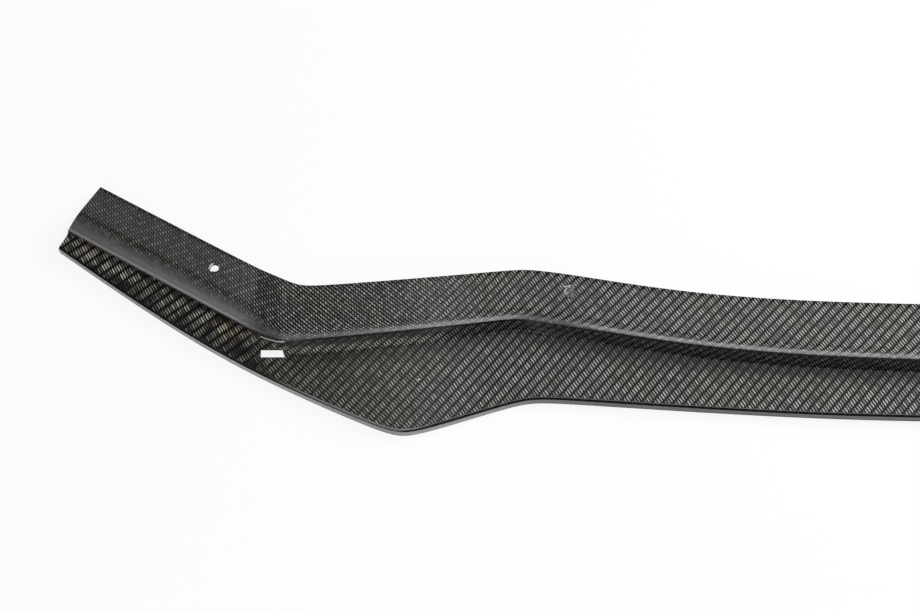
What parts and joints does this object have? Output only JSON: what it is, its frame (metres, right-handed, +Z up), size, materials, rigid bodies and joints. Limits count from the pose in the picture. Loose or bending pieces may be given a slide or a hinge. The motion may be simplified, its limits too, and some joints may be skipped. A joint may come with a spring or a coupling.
{
  "type": "front splitter lip",
  "caption": "Carbon-fibre front splitter lip: flat blade with a folded front edge and pointed fangs, stepped up to a rolled mounting flange that sweeps back to plain tails.",
  "frame": {"origin": "middle of the part's outer box at the height of the front return's lower edge", "axes": "+X across the car, +Y to the rear of the car, +Z up from the ground, with the blade level"},
  "size_m": [1.684, 0.2124, 0.0293],
  "materials": {
    "carbon": "gloss clear coat over a dark twill weave"
  },
  "bodies": {
    "root": {"splitter_lip": "carbon"}
  },
  "joints": []
}
